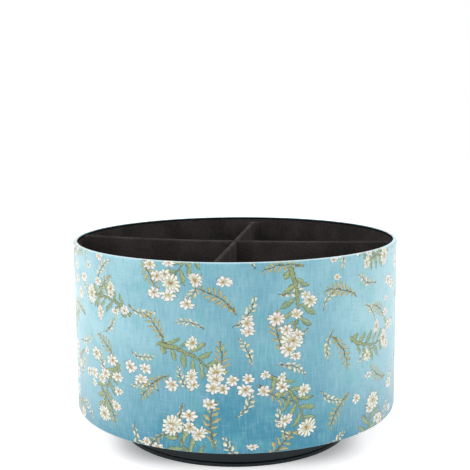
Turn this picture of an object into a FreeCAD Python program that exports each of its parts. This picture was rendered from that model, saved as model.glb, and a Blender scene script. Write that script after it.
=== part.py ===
"""A round desk caddy with four open compartments that turns on a ball-bearing turntable.

Millimetres, +Z up. The origin is on the desk, on the axis that the drum turns about. The long divider
lies along X, and the two cross dividers lie along Y. The desk touches the rubber feet at height 0.
"""
import FreeCAD, Part
import math
import os

Vector = FreeCAD.Vector

# Drum: a board tube and a board floor, wrapped outside in a printed sheet and lined inside.
drum_diameter = 170.0
drum_height = 87.5
wrap_thickness = 0.4
wall_board_thickness = 1.6
lining_thickness = 0.4
board_edge_radius = 0.5
wrap_hem_width = 10.0
wrap_seam_gap = 0.3
floor_board_thickness = 5.0
floor_pad_thickness = 1.6
floor_pad_clearance = 0.3
underside_cover_clearance = 0.3

# Dividers: one runs right across, and two half ones stand against its faces.
divider_board_thickness = 1.6
divider_drop = 2.6
divider_board_edge_radius = 0.6

# Turntable housing: a skirted top shell that turns over a flat base plate.
turntable_diameter = 122.0
base_plate_thickness = 2.0
housing_seam_gap = 0.4
top_shell_height = 13.9
top_shell_wall = 3.0
skirt_thickness = 2.4
housing_edge_radius = 0.4
dust_lip_height = 3.0
dust_lip_thickness = 1.6
dust_lip_clearance = 0.6

# Ball race between the two halves of the turntable.
race_diameter = 80.0
race_width = 9.6
ball_diameter = 6.0
ball_count = 12
ball_clearance = 0.1
cage_thickness = 1.4
cage_gap = 0.3
cage_pocket_clearance = 0.15

# Ribs that stiffen each half between its middle and its race.
rib_count = 8
rib_thickness = 1.6
base_rib_height = 3.0
top_rib_height = 3.0

# Centre pin, its washers and its lock nut.
pin_diameter = 6.0
pin_running_clearance = 0.08
pin_head_diameter = 12.0
pin_head_thickness = 1.0
pin_head_sink = 0.2
pin_head_clearance = 0.3
pin_tip_length = 1.0
pin_tip_chamfer = 0.5
hub_diameter = 20.0
thrust_washer_thickness = 0.8
washer_clearance = 0.1
boss_floor_thickness = 3.0
boss_wall = 2.0
retaining_washer_diameter = 13.0
retaining_washer_thickness = 1.0
washer_pocket_clearance = 1.5
lock_nut_diameter = 11.0
lock_nut_thickness = 1.4

# Screws that hold the top shell to the drum's floor board.
screw_count = 4
screw_diameter = 3.0
board_left_above_screws = 1.0
screw_hole_clearance = 0.2
screw_head_diameter = 5.6
screw_head_height = 2.0
screw_head_edge_radius = 0.6
screw_slot_width = 0.8
screw_slot_depth = 1.1

# Rubber feet in shallow recesses under the base plate.
foot_count = 6
foot_diameter = 9.6
foot_edge_inset = 4.2
foot_thickness = 1.2
foot_protrusion = 0.3
foot_recess_clearance = 0.2
foot_edge_radius = 0.3

# Radii and heights that follow, from the desk up.
turntable_radius = turntable_diameter / 2
base_plate_bottom = foot_protrusion
base_plate_top = base_plate_bottom + base_plate_thickness
top_shell_bottom = base_plate_top + housing_seam_gap
drum_bottom = top_shell_bottom + top_shell_height
top_shell_ceiling = drum_bottom - top_shell_wall
skirt_inner_radius = turntable_radius - skirt_thickness

drum_radius = drum_diameter / 2
rim_height = drum_bottom + drum_height
board_radius = drum_radius - wrap_thickness
board_inner_radius = board_radius - wall_board_thickness
lining_inner_radius = board_inner_radius - lining_thickness
board_bottom = drum_bottom + wrap_thickness
board_top = rim_height - wrap_thickness
floor_board_top = board_bottom + floor_board_thickness
hem_radius = drum_radius - wrap_hem_width

divider_top = rim_height - divider_drop
divider_half_board = divider_board_thickness / 2
divider_half_thickness = divider_half_board + lining_thickness

ball_radius = ball_diameter / 2
race_radius = race_diameter / 2
race_inner_radius = race_radius - race_width / 2
race_outer_radius = race_radius + race_width / 2
ball_height = (base_plate_top + top_shell_ceiling) / 2
groove_radius = ball_radius + ball_clearance
lower_race_top = ball_height - cage_thickness / 2 - cage_gap
upper_race_bottom = ball_height + cage_thickness / 2 + cage_gap

pin_radius = pin_diameter / 2
pin_head_top = base_plate_bottom + pin_head_sink + pin_head_thickness
hub_top = lower_race_top
thrust_washer_top = hub_top + thrust_washer_thickness
boss_bottom = thrust_washer_top + washer_clearance
boss_floor = boss_bottom + boss_floor_thickness
retaining_washer_bottom = boss_floor + washer_clearance
lock_nut_bottom = retaining_washer_bottom + retaining_washer_thickness
pin_tip = lock_nut_bottom + lock_nut_thickness + pin_tip_length
washer_pocket_radius = retaining_washer_diameter / 2 + washer_pocket_clearance

screw_radius = screw_diameter / 2
screw_hole_radius = screw_radius + screw_hole_clearance
screw_tip = floor_board_top - board_left_above_screws
screw_circle_radius = (race_outer_radius + skirt_inner_radius) / 2

foot_radius = foot_diameter / 2
foot_circle_radius = turntable_radius - foot_edge_inset - foot_radius


def cylinder(radius, low, high, centre=Vector(0, 0, 0)):
    """An upright cylinder between two heights."""
    return Part.makeCylinder(radius, high - low, Vector(centre.x, centre.y, low))


def ring(inner_radius, outer_radius, low, high):
    """A flat-ended tube about the drum's axis."""
    return cylinder(outer_radius, low, high).cut(cylinder(inner_radius, low, high))


def slab(x_low, x_high, y_low, y_high, low, high):
    """A block with its sides along X and Y."""
    return Part.makeBox(x_high - x_low, y_high - y_low, high - low, Vector(x_low, y_low, low))


def round_circles(shape, radius, circles):
    """Round each circular edge named by its own radius and its height."""
    picked = []
    for edge in shape.Edges:
        if not isinstance(edge.Curve, Part.Circle):
            continue
        for circle_radius, height in circles:
            same_radius = abs(edge.Curve.Radius - circle_radius) < 1e-6
            same_height = abs(edge.Curve.Center.z - height) < 1e-6
            if same_radius and same_height:
                picked.append(edge)
    return shape.makeFillet(radius, picked)


def rounded_cylinder(radius, low, high, edge_radius):
    """An upright cylinder with both of its end edges rounded."""
    return round_circles(cylinder(radius, low, high), edge_radius, [(radius, low), (radius, high)])


def places_around(count, radius, first_step=0.0):
    """Evenly spaced points on a circle about the axis, the first one first_step steps round from +X."""
    places = []
    for index in range(count):
        angle = 2 * math.pi * (index + first_step) / count
        places.append(Vector(math.cos(angle), math.sin(angle), 0) * radius)
    return places


def screw_places():
    """The screws stand midway between the race and the skirt, clear of the dividers' lines."""
    return places_around(screw_count, screw_circle_radius, 0.5)


def foot_places():
    return places_around(foot_count, foot_circle_radius)


def ball_places():
    return places_around(ball_count, race_radius)


# Turntable, the half that stands still.

def rubber_feet():
    feet = []
    for place in foot_places():
        foot = cylinder(foot_radius, 0, foot_thickness, place)
        feet.append(round_circles(foot, foot_edge_radius, [(foot_radius, 0)]))
    return Part.makeCompound(feet)


def ribs(middle_radius, low, high):
    """Radial ribs from the middle of a turntable half out to its ball race."""
    panels = []
    for index in range(rib_count):
        panel = slab(middle_radius, race_radius, -rib_thickness / 2, rib_thickness / 2, low, high)
        panel.rotate(Vector(0, 0, 0), Vector(0, 0, 1), 360 * (index + 0.5) / rib_count)
        panels.append(panel)
    return panels


def race_groove():
    """The round channel that the balls run in, half of it cut into each race."""
    groove = Part.makeTorus(race_radius, groove_radius)
    groove.translate(Vector(0, 0, ball_height))
    return groove


def turntable_base_plate():
    """A disc with a hub for the pin, the lower ball race and a lip that keeps dust out."""
    disc = rounded_cylinder(turntable_radius, base_plate_bottom, base_plate_top, housing_edge_radius)
    hub = cylinder(hub_diameter / 2, base_plate_bottom, hub_top)
    race = ring(race_inner_radius, race_outer_radius, base_plate_bottom, lower_race_top)
    lip_radius = skirt_inner_radius - dust_lip_clearance
    lip_top = base_plate_top + dust_lip_height
    lip = ring(lip_radius - dust_lip_thickness, lip_radius, base_plate_bottom + housing_edge_radius, lip_top)
    plate_ribs = ribs(pin_radius, base_plate_bottom, base_plate_top + base_rib_height)
    plate = disc.fuse([hub, race, lip] + plate_ribs).removeSplitter()
    pin_bore = cylinder(pin_radius, base_plate_bottom, hub_top)
    head_recess = cylinder(pin_head_diameter / 2 + pin_head_clearance, base_plate_bottom, pin_head_top)
    recess_radius = foot_radius + foot_recess_clearance
    recesses = [cylinder(recess_radius, base_plate_bottom, foot_thickness, place) for place in foot_places()]
    return plate.cut([pin_bore, head_recess, race_groove()] + recesses)


def centre_pin():
    """A headed steel pin pressed up through the base plate's hub."""
    head = cylinder(pin_head_diameter / 2, pin_head_top - pin_head_thickness, pin_head_top)
    shank = cylinder(pin_radius, pin_head_top, pin_tip)
    tip_edges = [edge for edge in shank.Edges if abs(edge.CenterOfMass.z - pin_tip) < 1e-6]
    shank = shank.makeChamfer(pin_tip_chamfer, tip_edges)
    return head.fuse(shank).removeSplitter()


def thrust_washer():
    """A slippery washer between the hub and the top shell's boss."""
    return ring(pin_radius + washer_clearance, hub_diameter / 2, hub_top, thrust_washer_top)


def pin_retaining_washer():
    return ring(
        pin_radius + washer_clearance,
        retaining_washer_diameter / 2,
        retaining_washer_bottom,
        lock_nut_bottom,
    )


def pin_lock_nut():
    """A round push-on nut that grips the pin above its washer."""
    return ring(pin_radius, lock_nut_diameter / 2, lock_nut_bottom, lock_nut_bottom + lock_nut_thickness)


# Ball cage, which rolls round at half the drum's speed.

def ball_cage_ring():
    pocket_radius = ball_radius + cage_pocket_clearance
    low = ball_height - cage_thickness / 2
    high = ball_height + cage_thickness / 2
    flat_ring = ring(race_inner_radius, race_outer_radius, low, high)
    return flat_ring.cut([cylinder(pocket_radius, low, high, place) for place in ball_places()])


def bearing_balls():
    balls = []
    for place in ball_places():
        balls.append(Part.makeSphere(ball_radius, place + Vector(0, 0, ball_height)))
    return Part.makeCompound(balls)


# Turntable, the half that turns with the drum.

def turntable_top_shell():
    """A shallow cup, open downwards, with the upper ball race and a boss that turns on the pin."""
    body = round_circles(
        cylinder(turntable_radius, top_shell_bottom, drum_bottom),
        housing_edge_radius,
        [(turntable_radius, top_shell_bottom)],
    )
    shell = body.cut(cylinder(skirt_inner_radius, top_shell_bottom, top_shell_ceiling))
    race = ring(race_inner_radius, race_outer_radius, upper_race_bottom, drum_bottom)
    boss = cylinder(washer_pocket_radius + boss_wall, boss_bottom, drum_bottom)
    shell_ribs = ribs(washer_pocket_radius, top_shell_ceiling - top_rib_height, drum_bottom)
    shell = shell.fuse([race, boss] + shell_ribs).removeSplitter()
    pin_bore = cylinder(pin_radius + pin_running_clearance, boss_bottom, boss_floor)
    washer_pocket = cylinder(washer_pocket_radius, boss_floor, drum_bottom)
    holes = [cylinder(screw_hole_radius, top_shell_ceiling, drum_bottom, place) for place in screw_places()]
    return shell.cut([pin_bore, washer_pocket, race_groove()] + holes)


def turntable_screws():
    """Pan-head screws driven up through the top shell into the floor board."""
    head_radius = screw_head_diameter / 2
    head_bottom = top_shell_ceiling - screw_head_height
    screws = []
    for place in screw_places():
        head = cylinder(head_radius, head_bottom, top_shell_ceiling, place)
        head = round_circles(head, screw_head_edge_radius, [(head_radius, head_bottom)])
        screw = head.fuse(cylinder(screw_radius, top_shell_ceiling, screw_tip, place)).removeSplitter()
        half_length = head_radius - screw_head_edge_radius
        half_width = screw_slot_width / 2
        slot_top = head_bottom + screw_slot_depth
        for half_x, half_y in [(half_length, half_width), (half_width, half_length)]:
            slot = slab(-half_x, half_x, -half_y, half_y, head_bottom, slot_top)
            slot.translate(place)
            screw = screw.cut(slot)
        screws.append(screw)
    return Part.makeCompound(screws)


# Drum.

def underside_cover():
    """A black sheet inside the wrap's hem, trapped between the floor board and the turntable."""
    sheet = cylinder(hem_radius - underside_cover_clearance, drum_bottom, board_bottom)
    holes = [cylinder(screw_hole_radius, drum_bottom, board_bottom, place) for place in screw_places()]
    return sheet.cut(holes)


def floor_board():
    disc = cylinder(board_inner_radius, board_bottom, floor_board_top)
    holes = [cylinder(screw_radius, board_bottom, screw_tip, place) for place in screw_places()]
    return disc.cut(holes)


def wall_board():
    """The tube that gives the drum its shape, glued round the edge of the floor board."""
    tube = rounded_cylinder(board_radius, board_bottom, board_top, board_edge_radius)
    return tube.cut(cylinder(board_inner_radius, board_bottom, board_top))


def outer_wrap():
    """The printed sheet: round the wall, over the rim and in under the bottom edge, with a butt seam
    at the back."""
    skin_radius = board_edge_radius + wrap_thickness
    skin = rounded_cylinder(drum_radius, drum_bottom, rim_height, skin_radius)
    core = rounded_cylinder(board_radius, board_bottom, board_top, board_edge_radius)
    mouth = cylinder(board_inner_radius, board_bottom, rim_height)
    hem_opening = cylinder(hem_radius, drum_bottom, board_bottom)
    seam = slab(-wrap_seam_gap / 2, wrap_seam_gap / 2, 0, drum_radius, drum_bottom, rim_height)
    return skin.cut([core, mouth, hem_opening, seam])


def wall_lining():
    return ring(lining_inner_radius, board_inner_radius, floor_board_top, board_top)


def upright_panel(half_thickness, x_high, top, edge_radius):
    """A panel along X from the wall lining on the left as far as x_high, its long top edges rounded."""
    panel = slab(-drum_radius, x_high, -half_thickness, half_thickness, floor_board_top, top)
    top_edges = []
    for edge in panel.Edges:
        runs_along_x = edge.BoundBox.XLength > edge.BoundBox.YLength + edge.BoundBox.ZLength
        if runs_along_x and abs(edge.CenterOfMass.z - top) < 1e-6:
            top_edges.append(edge)
    panel = panel.makeFillet(edge_radius, top_edges)
    return panel.common(cylinder(lining_inner_radius, floor_board_top, top))


def divider_board(x_high):
    board_top_height = divider_top - lining_thickness
    return upright_panel(divider_half_board, x_high, board_top_height, divider_board_edge_radius)


def divider_cover(x_high):
    """The lining folded over a divider's board and down both of its faces."""
    cover_edge_radius = divider_board_edge_radius + lining_thickness
    envelope = upright_panel(divider_half_thickness, x_high, divider_top, cover_edge_radius)
    return envelope.cut(divider_board(x_high))


def quarter_turned(shape, quarters):
    turned = shape.copy()
    turned.rotate(Vector(0, 0, 0), Vector(0, 0, 1), 90 * quarters)
    return turned


def floor_pad():
    """The foam-faced card, covered in the lining, on the floor of the compartment between +X and +Y."""
    inset = divider_half_thickness + floor_pad_clearance
    pad_radius = lining_inner_radius - floor_pad_clearance
    pad_top = floor_board_top + floor_pad_thickness
    corner = slab(inset, drum_radius, inset, drum_radius, floor_board_top, pad_top)
    return corner.common(cylinder(pad_radius, floor_board_top, pad_top))


# The long divider reaches the wall at both ends; a half one stops at the long one's face.
right_across = drum_radius
against_long_divider = -divider_half_thickness

nodes = {
    "rubber_feet": rubber_feet(),
    "turntable_base_plate": turntable_base_plate(),
    "centre_pin": centre_pin(),
    "thrust_washer": thrust_washer(),
    "pin_retaining_washer": pin_retaining_washer(),
    "pin_lock_nut": pin_lock_nut(),
    "ball_cage_ring": ball_cage_ring(),
    "bearing_balls": bearing_balls(),
    "turntable_top_shell": turntable_top_shell(),
    "turntable_screws": turntable_screws(),
    "underside_cover": underside_cover(),
    "floor_board": floor_board(),
    "wall_board": wall_board(),
    "outer_wrap": outer_wrap(),
    "wall_lining": wall_lining(),
    "long_divider_board": divider_board(right_across),
    "long_divider_cover": divider_cover(right_across),
    "front_divider_board": quarter_turned(divider_board(against_long_divider), 1),
    "front_divider_cover": quarter_turned(divider_cover(against_long_divider), 1),
    "rear_divider_board": quarter_turned(divider_board(against_long_divider), 3),
    "rear_divider_cover": quarter_turned(divider_cover(against_long_divider), 3),
    "rear_right_floor_pad": floor_pad(),
    "rear_left_floor_pad": quarter_turned(floor_pad(), 1),
    "front_left_floor_pad": quarter_turned(floor_pad(), 2),
    "front_right_floor_pad": quarter_turned(floor_pad(), 3),
}

os.makedirs("parts", exist_ok=True)
for name, shape in nodes.items():
    shape.exportStep(f"parts/{name}.step")
    print(f"{name}: {len(shape.Solids)} solids, {shape.Volume / 1000:.2f} cm3, valid {shape.isValid()}")
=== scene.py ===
import math

import bmesh
import bpy
from mathutils import Matrix, Vector, noise


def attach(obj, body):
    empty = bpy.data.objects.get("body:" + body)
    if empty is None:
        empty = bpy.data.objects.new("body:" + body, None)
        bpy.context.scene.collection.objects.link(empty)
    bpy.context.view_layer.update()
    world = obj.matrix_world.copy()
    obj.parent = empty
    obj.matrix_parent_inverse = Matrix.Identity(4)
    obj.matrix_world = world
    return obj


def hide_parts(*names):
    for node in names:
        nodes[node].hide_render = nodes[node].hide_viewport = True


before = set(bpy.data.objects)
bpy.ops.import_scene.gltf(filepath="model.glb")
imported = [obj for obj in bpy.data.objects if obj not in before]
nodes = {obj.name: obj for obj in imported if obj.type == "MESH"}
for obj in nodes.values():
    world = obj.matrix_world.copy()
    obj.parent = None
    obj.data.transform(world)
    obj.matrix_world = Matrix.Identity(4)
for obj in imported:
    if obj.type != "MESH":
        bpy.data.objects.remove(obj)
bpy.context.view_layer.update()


# --- Rubber feet ----------------------------------------------------------------------------------
# Small discs of moulded black rubber, pushed into recesses under the base plate. They are dull and
# a little dusty, and keep the turntable from sliding on the desk.

class Web:
    """The shader nodes of a finish or of the sky, round the one shader that they feed."""

    def __init__(self, tree, shader):
        self.tree = tree
        self.shader = tree.nodes[shader]

    def plug(self, value, socket):
        """Links a flow to a socket, or sets the socket to a plain value."""
        if isinstance(value, Flow):
            self.tree.links.new(value.socket, socket)
        elif socket.type == "RGBA" and len(value) == 3:
            socket.default_value = (*value, 1)
        else:
            socket.default_value = value

    def feed(self, **sockets):
        """Plugs the shader's own sockets, with _ for each space in their names."""
        for name, value in sockets.items():
            self.plug(value, self.shader.inputs[name.replace("_", " ")])

    def node(self, kind, outputs, settings=None, **inputs):
        """Adds a node. Returns its named output, or a list of them where outputs is a tuple. An
        input is given by its name with _ for each space, or by i and its number."""
        node = self.tree.nodes.new(kind)
        for setting, value in (settings or {}).items():
            setattr(node, setting, value)
        for name, value in inputs.items():
            key = int(name[1:]) if name[1:].isdigit() else name.replace("_", " ")
            self.plug(value, node.inputs[key])
        if isinstance(outputs, tuple):
            return [Flow(self, node.outputs[name]) for name in outputs]
        return Flow(self, node.outputs[outputs])

    def figure(self, operation, *values):
        """One Math node's answer for its values."""
        inputs = {f"i{index}": value for index, value in enumerate(values)}
        return self.node("ShaderNodeMath", "Value", {"operation": operation}, **inputs)

    def mix(self, share, under, over):
        """The under colour with a share of the over colour on it, by the node's colour sockets."""
        return self.node("ShaderNodeMix", 2, {"data_type": "RGBA"}, i0=share, i6=under, i7=over)

    def vector(self, x, y, z=0.0):
        return self.node("ShaderNodeCombineXYZ", "Vector", X=x, Y=y, Z=z)

    def place(self):
        """The place on the piece, in millimetres."""
        metres = self.node("ShaderNodeTexCoord", "Object")
        scale = {"operation": "SCALE"}
        return self.node("ShaderNodeVectorMath", "Vector", scale, Vector=metres, Scale=1000)

    def noise(self, place, size, detail=2.0, roughness=0.5):
        """Random soft patches about size millimetres across, from 0 to 1."""
        inputs = {"Vector": place, "Scale": 1 / size, "Detail": detail, "Roughness": roughness}
        return self.node("ShaderNodeTexNoise", "Fac", **inputs)

    def bump(self, height, depth):
        """A relief as deep as depth millimetres, where the height runs from 0 to 1."""
        return self.node("ShaderNodeBump", "Normal", Height=height, Distance=depth / 1000)


class Finish(Web):
    """A material round one Principled shader. What doesn't vary goes straight on its sockets."""

    def __init__(self, name, **fixed):
        self.material = bpy.data.materials.new(name)
        self.material.use_nodes = True
        super().__init__(self.material.node_tree, "Principled BSDF")
        self.feed(**fixed)

    def cover(self, *pieces, **varying):
        """Feeds what varies over the surface to the shader, and puts the material on the pieces."""
        self.feed(**varying)
        for piece in pieces:
            if not piece.material_slots:
                piece.data.materials.append(None)
            piece.material_slots[0].material = self.material


class Flow:
    """A value, vector or colour on its way through a web. Arithmetic on a value adds Math nodes."""

    def __init__(self, web, socket):
        self.web = web
        self.socket = socket

    def __add__(self, other):
        return self.web.figure("ADD", self, other)

    def __sub__(self, other):
        return self.web.figure("SUBTRACT", self, other)

    def __rsub__(self, other):
        return self.web.figure("SUBTRACT", other, self)

    def __mul__(self, other):
        return self.web.figure("MULTIPLY", self, other)

    def __truediv__(self, other):
        return self.web.figure("DIVIDE", self, other)

    def __pow__(self, other):
        return self.web.figure("POWER", self, other)

    def __mod__(self, other):
        return self.web.figure("FLOORED_MODULO", self, other)

    def __gt__(self, other):
        return self.web.figure("GREATER_THAN", self, other)

    def __lt__(self, other):
        return self.web.figure("LESS_THAN", self, other)

    def __abs__(self):
        return self.web.figure("ABSOLUTE", self)

    __radd__ = __add__
    __rmul__ = __mul__

    def whole(self):
        return self.web.figure("FLOOR", self)

    def sine(self):
        return self.web.figure("SINE", self)

    def cosine(self):
        return self.web.figure("COSINE", self)

    def angle_over(self, other):
        return self.web.figure("ARCTAN2", self, other)

    def at_most(self, other):
        return self.web.figure("MINIMUM", self, other)

    def at_least(self, other):
        return self.web.figure("MAXIMUM", self, other)

    def rise(self, low, high):
        """0 at low and 1 at high with a smooth rise between. Low may be the greater, for a fall."""
        smooth = {"interpolation_type": "SMOOTHSTEP"}
        ends = {"From_Min": low, "From_Max": high}
        return self.web.node("ShaderNodeMapRange", "Result", smooth, Value=self, **ends)

    def split(self):
        """The three coordinates of a vector, or the three parts of a colour."""
        return self.web.node("ShaderNodeSeparateXYZ", ("X", "Y", "Z"), Vector=self)


def distance(x, y):
    """How far the flows x and y lead from the axis or the middle."""
    return (x * x + y * y) ** 0.5


def srgb(*parts):
    """A paint colour from its usual 0 to 255 numbers."""
    shares = [part / 255 for part in parts]
    return tuple(
        share / 12.92 if share < 0.04 else ((share + 0.055) / 1.055) ** 2.4
        for share in shares
    )


rubber = Finish("moulded_rubber", Specular_IOR_Level=0.3)
dust = rubber.noise(rubber.place(), 2.2, detail=6.0).rise(0.42, 0.78)
pores = rubber.noise(rubber.place(), 0.22, detail=3.0)
rubber.cover(
    nodes["rubber_feet"],
    Base_Color=rubber.mix(dust * 0.55, (0.014, 0.014, 0.015), (0.075, 0.070, 0.064)),
    Roughness=0.72 + dust * 0.2,
    Normal=rubber.bump(pores, 0.06),
)


# --- Turntable: base plate and top shell ----------------------------------------------------------
# Two injection-moulded halves in charcoal plastic with a fine spark-eroded texture. The base plate
# stands still; the skirted shell over it is screwed to the drum and turns.

plastic = Finish("charcoal_plastic", Specular_IOR_Level=0.3)
grain = plastic.noise(plastic.place(), 0.28, detail=4.0, roughness=0.62)
flow_marks = plastic.noise(plastic.place(), 14.0, detail=3.0)
x, y, z = plastic.place().split()
round_about = plastic.vector(x * 0.22, y * 0.22, z * 3.0)
scuffs = plastic.noise(round_about, 1.1, detail=5.0).rise(0.60, 0.74)
plastic.cover(
    nodes["turntable_base_plate"],
    nodes["turntable_top_shell"],
    Base_Color=plastic.mix(scuffs * 0.35 + flow_marks * 0.2, srgb(28, 38, 42), srgb(56, 66, 70)),
    Roughness=0.44 + grain * 0.14 - scuffs * 0.10,
    Normal=plastic.bump(grain + scuffs * 0.25, 0.035),
)


# --- Ball race ------------------------------------------------------------------------------------
# Polished steel balls in a flat ring of natural nylon. The ring only keeps the balls apart, and is
# moulded with a faint cloudiness and a smear of grease round each pocket.

ball_circle = 40.0
grease_half_width = 3.6

nylon = Finish("natural_nylon", Subsurface_Weight=0.12, Subsurface_Radius=(0.002, 0.0016, 0.001))
cloud = nylon.noise(nylon.place(), 5.0, detail=4.0)
x, y, z = nylon.place().split()
from_race = abs(distance(x, y) - ball_circle)
smears = nylon.noise(nylon.place(), 2.4, detail=4.0).rise(0.35, 0.6)
grease = from_race.rise(grease_half_width, 1.5) * smears
clean_nylon = nylon.mix(cloud, (0.78, 0.76, 0.69), (0.70, 0.67, 0.58))
nylon.cover(
    nodes["ball_cage_ring"],
    nodes["thrust_washer"],
    Base_Color=nylon.mix(grease * 0.6, clean_nylon, (0.42, 0.34, 0.20)),
    Roughness=0.48 - grease * 0.28,
    Normal=nylon.bump(cloud, 0.05),
)

ball_steel = Finish("polished_ball_steel", Metallic=1.0)
wipe_marks = ball_steel.noise(ball_steel.place(), 1.3, detail=6.0, roughness=0.7)
ball_steel.cover(
    nodes["bearing_balls"],
    Base_Color=ball_steel.mix(wipe_marks, (0.66, 0.66, 0.67), (0.56, 0.55, 0.53)),
    Roughness=0.07 + wipe_marks * 0.10,
)


# --- Centre pin, washers, lock nut and screws -----------------------------------------------------
# Turned and stamped steel with a thin zinc plating. The pin is pressed into the base plate; its
# washer and push-on nut keep the two halves together. The screws hold the shell to the floor board.

turning_marks_pitch = 0.15

plated = Finish("zinc_plated_steel", Metallic=1.0)
x, y, z = plated.place().split()
turning_marks = (distance(x, y) * (2 * math.pi / turning_marks_pitch)).sine()
spangle = plated.noise(plated.place(), 1.6, detail=4.0)
plated.cover(
    nodes["centre_pin"],
    nodes["pin_retaining_washer"],
    nodes["pin_lock_nut"],
    nodes["turntable_screws"],
    Base_Color=plated.mix(spangle, (0.60, 0.60, 0.62), (0.46, 0.45, 0.42)),
    Roughness=0.24 + spangle * 0.22,
    Normal=plated.bump(turning_marks, 0.006),
)


# --- Boards ---------------------------------------------------------------------------------------
# The drum's floor is medium-density fibreboard. Its wall is a wound tube of grey board, and the
# dividers are cut from the same grey board. All of them are glued and then covered.

def fibre_board(name, pale, dark, fibre_length):
    """Short matted fibres lying along the sheet, with the odd dark fleck."""
    board = Finish(name, Specular_IOR_Level=0.2)
    x, y, z = board.place().split()
    drawn_out = board.vector(x / fibre_length, y, z * 1.6)
    fibres = board.noise(drawn_out, 0.55, detail=5.0, roughness=0.7)
    flecks = board.noise(board.place(), 0.9, detail=2.0).rise(0.66, 0.74)
    board.feed(
        Base_Color=board.mix(flecks * 0.6, board.mix(fibres, pale, dark), (0.10, 0.07, 0.05)),
        Roughness=0.86 + fibres * 0.1,
        Normal=board.bump(fibres, 0.08),
    )
    return board


fibre_board("fibreboard", (0.42, 0.28, 0.16), (0.27, 0.17, 0.09), 1.0).cover(nodes["floor_board"])
fibre_board("grey_board", (0.30, 0.27, 0.23), (0.18, 0.16, 0.13), 3.0).cover(
    nodes["wall_board"],
    nodes["long_divider_board"],
    nodes["front_divider_board"],
    nodes["rear_divider_board"],
)


# --- Underside cover ------------------------------------------------------------------------------
# A disc of black backing paper with an embossed leather grain. It covers the bottom of the floor
# board inside the wrap's hem, and is trapped between the board and the turntable.

pebble_size = 0.9

backing = Finish("black_backing_paper", Specular_IOR_Level=0.35)
pebbles = backing.node(
    "ShaderNodeTexVoronoi", "Distance", Vector=backing.place(), Scale=1 / pebble_size
)
creases = backing.noise(backing.place(), 9.0, detail=5.0)
backing.cover(
    nodes["underside_cover"],
    Base_Color=backing.mix(creases, (0.020, 0.020, 0.021), (0.038, 0.037, 0.037)),
    Roughness=0.60 + creases * 0.2,
    Normal=backing.bump(pebbles, 0.08),
)


# --- Outer wrap -----------------------------------------------------------------------------------
# One strip of thin leatherette, printed with an all-over pattern of meadow sprigs on blue. It is
# glued round the wall board and over its edges, and its ends butt together at the back.

drum_radius = 0.085
drum_bottom = 0.0166
rim_height = 0.1041
wrap_thickness = 0.0004
wrap_edge_radius = 0.0009
board_edge_radius = 0.0005
lip_radius = 0.0830
hem_radius = 0.0750
guide_distance = 0.003
seam_half_gap = 0.00015
round_steps = 360


def fit(name, mesh, body, slot, *replaced):
    """Makes a smooth piece of a bmesh, on its body and in place of its plain CAD nodes."""
    bmesh.ops.recalc_face_normals(mesh, faces=mesh.faces[:])
    for face in mesh.faces:
        face.smooth = True
    data = bpy.data.meshes.new(name)
    mesh.to_mesh(data)
    mesh.free()
    piece = bpy.data.objects.new(name, data)
    bpy.context.scene.collection.objects.link(piece)
    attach(piece, body)
    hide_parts(*replaced)
    return piece


def outline(mesh, corners):
    """A flat face that stands on the X axis, from pairs of x and height."""
    return mesh.faces.new([mesh.verts.new((x, 0, height)) for x, height in corners])


def round_corners(mesh, radius, segments, corners):
    """Rounds the outline's corners at the given pairs of x and height."""
    places = [Vector((x, 0, height)) for x, height in corners]
    found = [
        vert for vert in mesh.verts
        if any((vert.co - place).length < 1e-6 for place in places)
    ]
    bmesh.ops.bevel(
        mesh, geom=found, offset=radius, offset_type="OFFSET", affect="VERTICES",
        segments=segments, profile=0.5, material=-1,
    )


def turn(mesh, angle):
    """Turns the whole mesh about the drum's axis."""
    matrix = Matrix.Rotation(angle, 3, "Z")
    bmesh.ops.rotate(mesh, verts=mesh.verts[:], cent=(0, 0, 0), matrix=matrix)


board_edge = drum_radius - wrap_thickness
wrap_mesh = bmesh.new()
outline(wrap_mesh, [
    (hem_radius, drum_bottom),
    (drum_radius - guide_distance, drum_bottom),
    (drum_radius, drum_bottom),
    (drum_radius, drum_bottom + guide_distance),
    (drum_radius, rim_height - guide_distance),
    (drum_radius, rim_height),
    (lip_radius, rim_height),
    (lip_radius, rim_height - wrap_thickness),
    (board_edge, rim_height - wrap_thickness),
    (board_edge, drum_bottom + wrap_thickness),
    (hem_radius, drum_bottom + wrap_thickness),
])
round_corners(wrap_mesh, wrap_edge_radius, 7, [
    (drum_radius, drum_bottom),
    (drum_radius, rim_height),
])
round_corners(wrap_mesh, board_edge_radius, 4, [
    (board_edge, drum_bottom + wrap_thickness),
    (board_edge, rim_height - wrap_thickness),
])
half_seam = math.asin(seam_half_gap / drum_radius)
turn(wrap_mesh, math.pi / 2 + half_seam)
bmesh.ops.spin(
    wrap_mesh, geom=wrap_mesh.verts[:] + wrap_mesh.edges[:] + wrap_mesh.faces[:],
    cent=(0, 0, 0), axis=(0, 0, 1), angle=2 * (math.pi - half_seam),
    steps=round_steps, use_merge=False, use_duplicate=False,
)

# The print lies on the flat strip in millimetres: along it from the seam, and up from its foot.
strip = wrap_mesh.loops.layers.uv.new("print")
middle_height = (drum_bottom + rim_height) / 2
for face in wrap_mesh.faces:
    for loop in face.loops:
        x, y, z = loop.vert.co
        along = (math.atan2(y, x) - math.pi / 2) % (2 * math.pi) * drum_radius
        folded = drum_radius - math.hypot(x, y)
        up = z - drum_bottom + (folded if z > middle_height else -folded)
        loop[strip].uv = (along * 1000, up * 1000)
outer_wrap = fit("printed_wrap", wrap_mesh, "drum", "printed_wrap", "outer_wrap")

printed = Finish(
    "printed_leatherette",
    IOR=1.48, Coat_Weight=0.2, Coat_Roughness=0.3, Sheen_Weight=0.08, Sheen_Roughness=0.5,
)
sheet = printed.node("ShaderNodeUVMap", "UV", {"uv_map": "print"})


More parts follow.
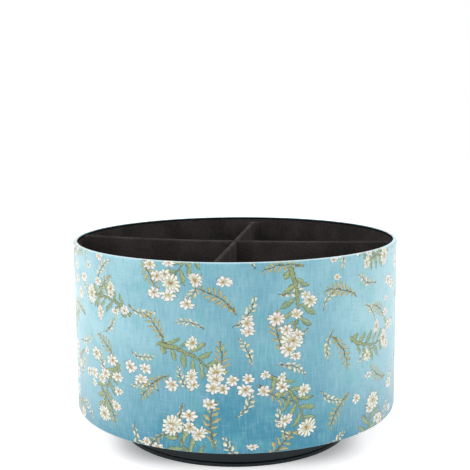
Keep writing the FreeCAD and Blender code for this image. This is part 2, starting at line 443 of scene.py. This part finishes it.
def lay(paint, mask, colour, strength=1.0):
    """The paint with one more colour laid over it."""
    return printed.mix(mask * strength, paint, colour)


# Ground: one blue that deepens to the foot and to the middle of each of the strip's three panels,
# laid on in patches and in upright and level strokes. The deepening is partly the print's own tone
# and partly painted shade: darker low down where less light reaches, and paler towards each
# panel's ends as a painted sheen on the drum's turning sides.
panel_length = 178.0
panel_middle = 282.0
print_height = 87.0

along, up, _ = sheet.split()
middle_tone_and_shade = ((along - panel_middle) * (2 * math.pi / panel_length)).cosine() * 0.5 + 0.5
foot_tone_and_shade = (up * -1 / print_height + 1).at_least(0.0) ** 3
patches = printed.noise(sheet, 22.0, detail=3.0).rise(0.34, 0.66)
turquoise = printed.noise(printed.vector(along + 200, up), 13.0, detail=3.0).rise(0.52, 0.64)
lilac = printed.noise(printed.vector(along, up + 300), 10.0, detail=3.0).rise(0.60, 0.70)
upright = printed.noise(printed.vector(along * 1.1, up * 0.13), 1.0, detail=4.0, roughness=0.65)
level = printed.noise(printed.vector(along * 0.14, up * 1.3), 1.0, detail=3.0, roughness=0.6)
depth = middle_tone_and_shade * 0.56 + foot_tone_and_shade * 0.94 + patches * 0.20 - 0.145
paint = printed.mix(depth.at_most(1.0).at_least(0.0), srgb(158, 208, 218), srgb(40, 134, 161))
paint = lay(paint, turquoise, srgb(96, 180, 182), 0.30)
paint = lay(paint, lilac, srgb(120, 150, 200), 0.18)
paint = lay(paint, upright.rise(0.46, 0.70), srgb(182, 218, 226), 0.22)
paint = lay(paint, upright.rise(0.50, 0.30), srgb(48, 132, 160), 0.26)
paint = lay(paint, level.rise(0.52, 0.72), srgb(168, 212, 222), 0.18)
paint = lay(paint, level.rise(0.48, 0.30), srgb(56, 138, 164), 0.18)

# The motifs' edges wander by up to 1.8 mm each way, as a brush's do.
wander = 1.8
wander_length = 3.0

shaken = printed.node(
    "ShaderNodeTexNoise", "Color", Vector=sheet, Scale=1 / wander_length, Detail=4.0, Roughness=0.6
)
offset = printed.node(
    "ShaderNodeVectorMath", "Vector", {"operation": "MULTIPLY_ADD"},
    i0=shaken, i1=(2 * wander, 2 * wander, 0), i2=(-wander, -wander, 0),
)
brushed = printed.node("ShaderNodeVectorMath", "Vector", {"operation": "ADD"}, i0=sheet, i1=offset)
u, v, _ = brushed.split()
dabs = printed.noise(sheet, 1.1, detail=3.0)


def chances(place):
    """Three numbers from 0 to 1 that chance gives one cell of a repeat."""
    flat = {"noise_dimensions": "2D"}
    return printed.node("ShaderNodeTexWhiteNoise", "Color", flat, Vector=place).split()


def tossed(width, height, start):
    """The place within a half-drop repeat whose cells are turned, sized and mirrored by chance."""
    across = u / width + start
    column = across.whole()
    upward = v / height + start + (column % 2) * 0.5
    row = upward.whole()
    angle, size, side = chances(printed.vector(column + start * 7, row))
    from_middle = printed.vector((across - column - 0.5) * width, (upward - row - 0.5) * height)
    turned = printed.node(
        "ShaderNodeVectorRotate", "Vector", {"rotation_type": "Z_AXIS"},
        Vector=from_middle, Angle=angle * 2 * math.pi,
    )
    x, y, _ = turned.split()
    grown = size * 0.25 + 0.85
    return x / grown * ((side > 0.5) * 2 - 1), y / grown


# How far a leaf slants and curls up from its root, and shortens away from the stem's middle. The
# last value keeps a bent stem near the middle of its cell.
leaf_slant = 0.8
leaf_curl = 0.022
leaf_shortening = 0.28
stem_centring = 130


def leafy_stem(paint, x, y, bend, low, high, stem_half, pitch, leaf_length, leaf_half, colours):
    """A bent stem that narrows upwards, with a leaf to each side by turns. The leaves have two
    tones, a pale midrib and a dark outline, and are shorter towards both ends of the stem."""
    leaf_light, leaf_deep, vein, stem_colour = colours
    middle = (low + high) / 2
    from_stem = x - y * y * bend + bend * stem_centring
    reach = abs(from_stem)
    right = from_stem > 0
    count = (y - reach * leaf_slant + reach * reach * leaf_curl) / pitch + right * 0.5
    number = count.whole()
    across = (count - number - 0.5) * (pitch / leaf_half)
    chance, _, _ = chances(printed.vector(number + right * 20, stem_half))
    root = (number - right * 0.5 + 0.5) * pitch
    share = reach / (leaf_length - abs(root - middle) * leaf_shortening)
    edge = share * (1 - share) * 4 - abs(across)
    leaf = (edge > 0) * (abs(root - middle) < (high - low) / 2 - 0.6)
    paint = lay(paint, leaf, printed.mix(chance, leaf_light, leaf_deep))
    paint = lay(paint, leaf * dabs.rise(0.48, 0.58), srgb(204, 204, 150), 0.45)
    paint = lay(paint, leaf * (across > 0.12), vein, 0.45)
    paint = lay(paint, leaf * (abs(across) < 0.09), leaf_light, 0.7)
    paint = lay(paint, leaf * (edge < 0.2), srgb(48, 72, 58), 0.75)
    half_width = stem_half * 1.4 - (y - low) * (stem_half / (high - low))
    bark = half_width - reach
    stem = (bark > 0) * (abs(y - middle) < high - middle)
    paint = lay(paint, stem, printed.mix(dabs.rise(0.40, 0.60), stem_colour, leaf_light))
    return lay(paint, stem * (bark < 0.32), srgb(50, 62, 48), 0.8)


def bloom(paint, x, y, radius, petals, blush):
    """An open flower of many petals, cream over a grey-green shade, with a small ochre eye."""
    out = distance(x, y) / radius
    lobes = abs((y.angle_over(x) * (petals / 2)).cosine())
    edge = lobes * 0.36 + 0.64
    light = lobes.rise(0.15, 0.80) * out.rise(0.12, 0.60)
    cream = printed.mix(dabs.rise(0.38, 0.62), srgb(252, 250, 236), blush)
    ochre = printed.mix(dabs.rise(0.44, 0.56), srgb(204, 176, 84), srgb(156, 104, 62))
    paint = lay(paint, out < edge + 0.11, srgb(78, 108, 104), 0.5)
    paint = lay(paint, out < edge, printed.mix(light, srgb(176, 180, 150), cream))
    return lay(paint, out < 0.22, ochre, 0.9)


# Thin sprays of buds, then seed twigs, then large leafy sprigs with three flowers each.
x, y = tossed(width=23.0, height=21.0, start=0.3)
paint = leafy_stem(
    paint, x, y, bend=0.035, low=-8.0, high=8.0, stem_half=0.28,
    pitch=2.6, leaf_length=2.7, leaf_half=1.0,
    colours=(srgb(244, 240, 222), srgb(206, 210, 170), srgb(150, 160, 120), srgb(72, 92, 80)),
)
x, y = tossed(width=30.0, height=28.0, start=0.5)
paint = leafy_stem(
    paint, x, y, bend=0.020, low=-11.5, high=10.5, stem_half=0.40,
    pitch=2.9, leaf_length=4.2, leaf_half=0.85,
    colours=(srgb(178, 180, 118), srgb(202, 178, 122), srgb(104, 114, 74), srgb(92, 92, 66)),
)
x, y = tossed(width=47.0, height=44.0, start=0.0)
paint = leafy_stem(
    paint, x, y, bend=0.013, low=-19.0, high=14.0, stem_half=0.95,
    pitch=5.6, leaf_length=9.4, leaf_half=1.55,
    colours=(srgb(150, 168, 112), srgb(116, 150, 116), srgb(84, 124, 102), srgb(126, 134, 92)),
)
paint = bloom(paint, x - 0.4, (y - 14.5) * 1.25, radius=5.6, petals=13, blush=srgb(226, 224, 206))
paint = bloom(paint, x - 8.0, (y - 4.5) * 1.4, radius=4.2, petals=10, blush=srgb(232, 214, 214))
paint = bloom(paint, x + 7.5, (y + 3.0) * 1.3, radius=3.8, petals=9, blush=srgb(226, 224, 206))

# Small flowers in loose drifts.
flower_spacing = 8.5

flower = printed.node(
    "ShaderNodeTexVoronoi", "Position", {"voronoi_dimensions": "2D"},
    Vector=brushed, Scale=1 / flower_spacing, Randomness=0.75,
)
flower_u, flower_v, _ = flower.split()
size, lean, _ = chances(flower)
in_drift = printed.noise(flower, 21.0, detail=1.0) > 0.565
flower_radius = (size * 1.7 + 2.3) * in_drift + 0.001
leaning = lean * 0.6 + 1.0
paint = bloom(
    paint, u - flower_u, (v - flower_v) * leaning,
    radius=flower_radius, petals=7, blush=srgb(232, 218, 222),
)

# The print is painted paler along the fold at the rim, a painted highlight where the rounded rim
# catches the light from above.
fold_low = 87.4
fold_high = 88.1

paint = lay(paint, up.rise(fold_low, fold_high), srgb(216, 234, 240), 0.5)
leather = printed.noise(sheet, 0.45, detail=3.0)
printed.cover(
    outer_wrap,
    Base_Color=paint,
    Roughness=0.38 + leather * 0.12,
    Normal=printed.bump(leather, 0.03),
)


# --- Wall lining ----------------------------------------------------------------------------------
# Dark brown suede paper glued inside the tube, from the floor board up to just under the wrap's
# lip. Its nap is short and dull, flocked in small tufts and brushed this way and that.

lining_radius = 0.0826
lining_outside = 0.0830
floor_board_top = 0.0220
lining_top = 0.1037
lining_guide = 0.002
lining_edge_radius = 0.00025

lining_mesh = bmesh.new()
outline(lining_mesh, [
    (lining_radius, floor_board_top),
    (lining_outside, floor_board_top),
    (lining_outside, lining_top),
    (lining_radius, lining_top),
    (lining_radius, lining_top - lining_guide),
])
round_corners(lining_mesh, lining_edge_radius, 4, [(lining_radius, lining_top)])
bmesh.ops.spin(
    lining_mesh, geom=lining_mesh.verts[:] + lining_mesh.edges[:], cent=(0, 0, 0),
    axis=(0, 0, 1), angle=2 * math.pi, steps=round_steps, use_merge=True, use_duplicate=False,
)
section = [face for face in lining_mesh.faces if len(face.verts) > 4]
bmesh.ops.delete(lining_mesh, geom=section, context="FACES_ONLY")
wall_lining = fit("wall_suede", lining_mesh, "drum", "suede_lining", "wall_lining")

suede = Finish(
    "brown_black_suede",
    Sheen_Weight=0.04, Sheen_Roughness=0.5, Sheen_Tint=(0.75, 0.66, 0.60), Specular_IOR_Level=0.0,
)
# A line of shade lies on the lining's top edge, just under the lip.
x, y, z = suede.place().split()
edge_shade = z.rise(102.2, 103.4) * distance(x, y).rise(82.0, 82.5)
nap = suede.noise(suede.place(), 0.35, detail=4.0, roughness=0.7)
flock = suede.noise(suede.place(), 1.1, detail=4.0, roughness=0.75).rise(0.34, 0.66)
brushed_ways = suede.noise(suede.place(), 16.0, detail=4.0).rise(0.40, 0.62)
nap_light = brushed_ways * 0.35 + flock * 0.45 + nap * 0.3
suede_colour = suede.mix(nap_light, srgb(40, 37, 37), srgb(73, 68, 67))
suede.cover(
    wall_lining,
    Base_Color=suede.mix(edge_shade, suede_colour, srgb(8, 16, 22)),
    Roughness=0.88 + nap * 0.1,
    Normal=suede.bump(nap * 0.6 + flock * 0.4, 0.09),
)


# --- Divider covers -------------------------------------------------------------------------------
# The same suede paper folded over each divider board and glued down both of its faces. The fold is
# soft, and the paper rides up a little where the long divider meets the wall.

cover_half = 0.0012
cover_skin = 0.0004
divider_top = 0.1015
cover_fold_radius = 0.0011
divider_board_edge = 0.0006
divider_reach = 0.08255
cross_reach = -0.00125
spin_step = 0.0006
soft_part_bottom = 0.06
rise_at_left = 0.0022
rise_at_right = 0.0009
rise_power = 2.2
flare_radius = 0.0032
waviness = 0.00025
waves_per_metre = 28
leg_cuts = 11


def divider_cover(name, inner_end, quarters, replaced):
    """A folded cover along X, from the wall on the left as far as inner_end, turned by quarters."""
    mesh = bmesh.new()
    board_half = cover_half - cover_skin
    board_top = divider_top - cover_skin
    outline(mesh, [
        (-cover_half, floor_board_top),
        (-cover_half, divider_top),
        (cover_half, divider_top),
        (cover_half, floor_board_top),
        (board_half, floor_board_top),
        (board_half, board_top),
        (-board_half, board_top),
        (-board_half, floor_board_top),
    ])
    legs = [edge for edge in mesh.edges if edge.calc_length() > divider_top / 2]
    bmesh.ops.subdivide_edges(mesh, edges=legs, cuts=leg_cuts)
    for radius, segments, half, top in (
        (cover_fold_radius, 6, cover_half, divider_top),
        (divider_board_edge, 3, board_half, board_top),
    ):
        round_corners(mesh, radius, segments, [(-half, top), (half, top)])
    turn(mesh, math.pi / 2)
    bmesh.ops.translate(mesh, verts=mesh.verts[:], vec=(-divider_reach, 0, 0))
    length = inner_end + divider_reach
    steps = round(length / spin_step)
    bmesh.ops.spin(
        mesh, geom=mesh.verts[:] + mesh.edges[:] + mesh.faces[:], cent=(0, 0, 0), axis=(0, 0, 1),
        dvec=(length / steps, 0, 0), angle=0, steps=steps, use_merge=False, use_duplicate=False,
    )
    long = quarters == 0
    for vert in mesh.verts:
        x, y, z = vert.co
        softness = max(0.0, (z - soft_part_bottom) / (divider_top - soft_part_bottom))
        if long:
            rise_at_wall = rise_at_left if x < 0 else rise_at_right
            vert.co.z += rise_at_wall * abs(x / divider_reach) ** rise_power * softness ** 2
        from_wall = flare_radius
        if x < 0 or long:
            from_wall = min(divider_reach - abs(x), flare_radius)
        flare = flare_radius - math.sqrt(flare_radius ** 2 - (flare_radius - from_wall) ** 2)
        outside = max(0.0, (abs(y) - board_half) / cover_skin)
        vert.co.y += math.copysign(flare * outside, y)
        vert.co.y += waviness * softness * noise.noise((x * waves_per_metre, quarters * 3.0, 0))
    turn(mesh, quarters * math.pi / 2)
    return fit(name, mesh, "drum", "suede_lining", replaced)


suede_pieces = [
    divider_cover("long_divider_suede", divider_reach, 0, "long_divider_cover"),
    divider_cover("front_divider_suede", cross_reach, 1, "front_divider_cover"),
    divider_cover("rear_divider_suede", cross_reach, 3, "rear_divider_cover"),
]


# --- Floor pads -----------------------------------------------------------------------------------
# A quarter of stiff card with a thin layer of foam under the same suede, one to each compartment.
# The suede is pulled round its edges, so they and its corners are rounded.

pad_gap = 0.0001
pad_round_steps = 120
pad_corner_radius = 0.0025
pad_side_height = 0.0009
shortest_side = 0.0015
widest_corner = math.radians(115)
edge_roll = {"thickness": 0.0003, "depth": 0.0004}
edge_slope = {"thickness": 0.0006, "depth": 0.0002}
crown = 0.0001


def floor_pad(name, quarters, replaced):
    """A quarter disc that stands clear of the wall and the dividers, turned by quarters."""
    inset = cover_half + pad_gap
    mesh = bmesh.new()
    bmesh.ops.create_circle(
        mesh, cap_ends=True, segments=pad_round_steps, radius=lining_radius - pad_gap
    )
    bmesh.ops.translate(mesh, verts=mesh.verts[:], vec=(0, 0, floor_board_top))
    for way in (Vector((1, 0, 0)), Vector((0, 1, 0))):
        disc = mesh.verts[:] + mesh.edges[:] + mesh.faces[:]
        bmesh.ops.bisect_plane(
            mesh, geom=disc, plane_co=way * inset, plane_no=way, clear_inner=True
        )
    bmesh.ops.remove_doubles(mesh, verts=mesh.verts[:], dist=shortest_side)
    corners = [vert for vert in mesh.verts if vert.link_loops[0].calc_angle() < widest_corner]
    bmesh.ops.bevel(
        mesh, geom=corners, offset=pad_corner_radius, offset_type="OFFSET", affect="VERTICES",
        segments=5, profile=0.5, material=-1,
    )
    lifted = bmesh.ops.extrude_face_region(mesh, geom=mesh.faces[:])["geom"]
    raised = [item for item in lifted if isinstance(item, bmesh.types.BMVert)]
    bmesh.ops.translate(mesh, verts=raised, vec=(0, 0, pad_side_height))
    top = [max(mesh.faces, key=lambda face: face.calc_center_median().z)]
    bmesh.ops.inset_region(mesh, faces=top, use_even_offset=True, **edge_roll)
    bmesh.ops.inset_region(mesh, faces=top, use_even_offset=True, **edge_slope)
    bmesh.ops.poke(mesh, faces=top, offset=crown)
    turn(mesh, quarters * math.pi / 2)
    pad = fit(name, mesh, "drum", "suede_lining", replaced)
    rounding = pad.modifiers.new("rounding", "SUBSURF")
    rounding.levels = rounding.render_levels = 2
    return pad


suede_pieces += [
    floor_pad("rear_right_floor_suede", 0, "rear_right_floor_pad"),
    floor_pad("rear_left_floor_suede", 1, "rear_left_floor_pad"),
    floor_pad("front_left_floor_suede", 2, "front_left_floor_pad"),
    floor_pad("front_right_floor_suede", 3, "front_right_floor_pad"),
]
suede.cover(*suede_pieces)


# --- Camera, floor and lights ---------------------------------------------------------------------
# The camera looks a little down on the drum, from just right of its front. The desk is plain and
# white, and shades off where the drum keeps the light from it. Round the base its glow is also
# dimmed, a painted shadow.

camera_distance = 0.4578
camera_height = 0.16955
camera_round = 0.1402
camera_down = 0.1413
camera_roll = -0.0075
lens_length = 66.39

sideways = Vector((math.cos(camera_round), math.sin(camera_round), 0))
ahead = Vector((-math.sin(camera_round), math.cos(camera_round), 0)) * math.cos(camera_down)
ahead.z = -math.sin(camera_down)
overhead = sideways.cross(ahead)
camera_x = sideways * math.cos(camera_roll) + overhead * math.sin(camera_roll)
camera_y = overhead * math.cos(camera_roll) - sideways * math.sin(camera_roll)
camera_place = Vector((math.sin(camera_round), -math.cos(camera_round), 0)) * camera_distance
camera_place.z = camera_height
lens = bpy.data.cameras.new("camera")
lens.lens = lens_length
lens.clip_start = 0.01
camera = bpy.data.objects.new("camera", lens)
camera_turn = Matrix((camera_x, camera_y, -ahead)).transposed().to_4x4()
camera.matrix_world = Matrix.Translation(camera_place) @ camera_turn
bpy.context.scene.collection.objects.link(camera)
bpy.context.scene.camera = camera


def seen(web):
    """1 for a ray from the camera, a gloss or a glass, and 0 for one that carries light."""
    from_camera, from_gloss, from_glass = web.node(
        "ShaderNodeLightPath", ("Is Camera Ray", "Is Glossy Ray", "Is Transmission Ray")
    )
    return from_camera.at_least(from_gloss).at_least(from_glass)


# The floor's glow is lower round the base, a painted shade that is nearer to a rounded square than
# to a disc. It fades out over the near reach, and the floor whitens further over the far one, in
# millimetres.
floor_radius = 2.5
shade_squareness = 4
shade_depth = 1.09
near_reach = (52.5, 69.7)
far_reach = (130, 520)

floor_mesh = bmesh.new()
bmesh.ops.create_circle(floor_mesh, cap_ends=True, segments=96, radius=floor_radius)
floor_data = bpy.data.meshes.new("floor")
floor_mesh.to_mesh(floor_data)
floor_mesh.free()
floor = bpy.data.objects.new("floor", floor_data)
bpy.context.scene.collection.objects.link(floor)
pale = Finish(
    "pale_floor",
    Base_Color=(0.86, 0.86, 0.87), Roughness=0.9, Specular_IOR_Level=0.1, Emission_Strength=1.0,
)
x, y, z = pale.place().split()
across = x * math.cos(camera_round) + y * math.sin(camera_round)
towards = (x * math.sin(camera_round) - y * math.cos(camera_round)) * shade_depth
from_middle = (across ** shade_squareness + towards ** shade_squareness) ** (1 / shade_squareness)
clear_of_painted_shade = from_middle.rise(*near_reach)
far_off = distance(x, y).rise(*far_reach)
glow = clear_of_painted_shade * 0.47 + far_off * 0.26 + 0.26
pale.cover(floor, Emission_Color=pale.mix(seen(pale) * glow, (0.0, 0.0, 0.0), (1.0, 1.0, 1.0)))

world = bpy.data.worlds.new("studio")
world.use_nodes = True
bpy.context.scene.world = world
sky = Web(world.node_tree, "Background")
sky.feed(Color=(1.0, 1.0, 1.0), Strength=seen(sky) * 0.45 + 0.55)

drum_middle = Vector((0, 0, 0.05))


def soft_box(name, size, power, place):
    """A square lamp with a diffusing front, turned to the middle of the drum."""
    lamp = bpy.data.lights.new(name, "AREA")
    lamp.size = size
    lamp.energy = power
    holder = bpy.data.objects.new(name, lamp)
    aim = (drum_middle - Vector(place)).to_track_quat("-Z", "Y")
    holder.matrix_world = Matrix.Translation(place) @ aim.to_matrix().to_4x4()
    bpy.context.scene.collection.objects.link(holder)


soft_box("key_light", 1.0, 3.8, (-0.35, -0.7, 1.1))
soft_box("top_light", 1.4, 8.5, (0.0, 0.0, 1.3))
soft_box("left_light", 0.8, 2.6, (-1.1, -0.25, 0.6))
soft_box("right_light", 0.8, 2.4, (1.1, -0.25, 0.6))
bpy.context.scene.view_settings.view_transform = "Standard"
